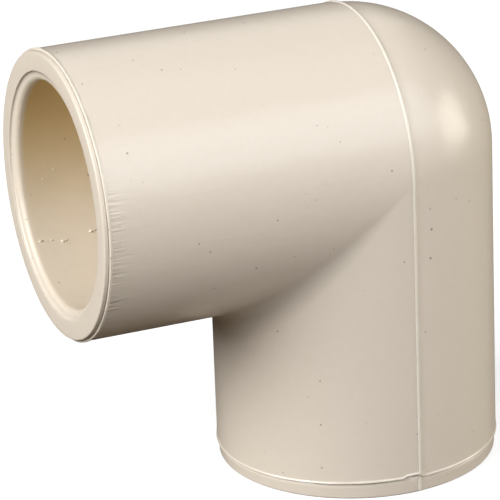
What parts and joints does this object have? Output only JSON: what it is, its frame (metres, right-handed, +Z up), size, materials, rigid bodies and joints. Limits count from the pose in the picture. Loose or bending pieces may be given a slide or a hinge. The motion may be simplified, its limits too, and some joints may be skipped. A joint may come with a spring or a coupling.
{
  "type": "elbow pipe fitting",
  "caption": "One-piece moulded plastic 90 degree elbow with a solvent-weld pipe socket on each end and a round back.",
  "frame": {"origin": "centre of the lower socket's pipe stop, where the end of the pipe seats", "axes": "+Z up, so the lower arm points along -Z; -X along the side arm, out of its mouth; Y across both arms"},
  "size_m": [0.0455, 0.0288, 0.0464],
  "materials": {
    "cream_plastic": "satin cream moulded plastic with fine flash lines"
  },
  "bodies": {
    "root": {"elbow_body": "cream_plastic"}
  },
  "joints": []
}
